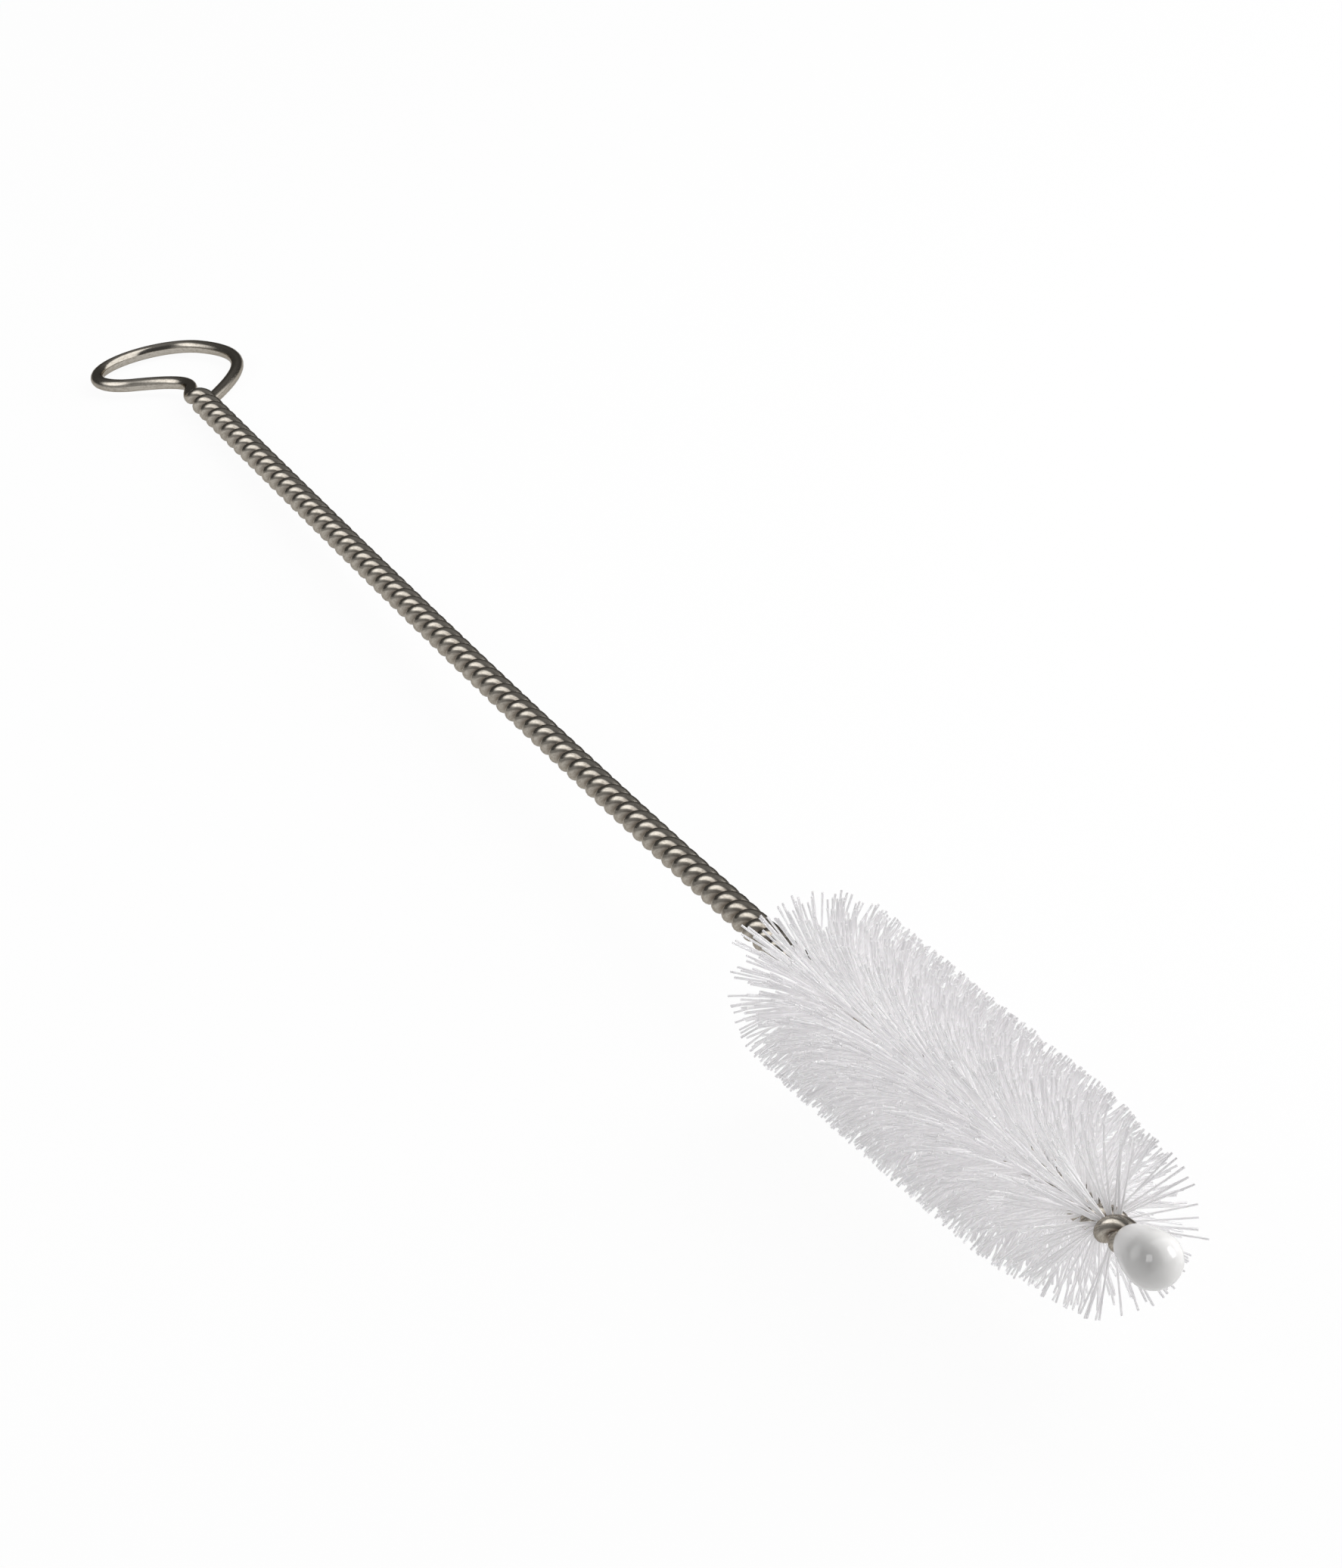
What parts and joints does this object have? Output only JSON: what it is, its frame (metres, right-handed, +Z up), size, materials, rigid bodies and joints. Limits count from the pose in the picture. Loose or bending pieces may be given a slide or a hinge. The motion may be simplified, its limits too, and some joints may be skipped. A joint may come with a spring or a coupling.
{
  "type": "bottle brush",
  "caption": "Slim bottle brush of folded and twisted wire, with a ring eye to hang it by, nylon bristles all round its front end and a rounded moulded tip.",
  "frame": {"origin": "centre of the bounding box, at the surface that the brush lies on", "axes": "+X along the stem from the ring eye to the tip, +Y to the side, +Z up off the surface"},
  "size_m": [0.4048, 0.0214, 0.0224],
  "materials": {
    "wire": "bright drawn steel wire",
    "nylon": "clear white nylon filament",
    "tip": "smooth white moulded plastic"
  },
  "bodies": {
    "root": {"stem_wire": "wire", "bristles": "nylon", "end_tip": "tip"}
  },
  "joints": []
}
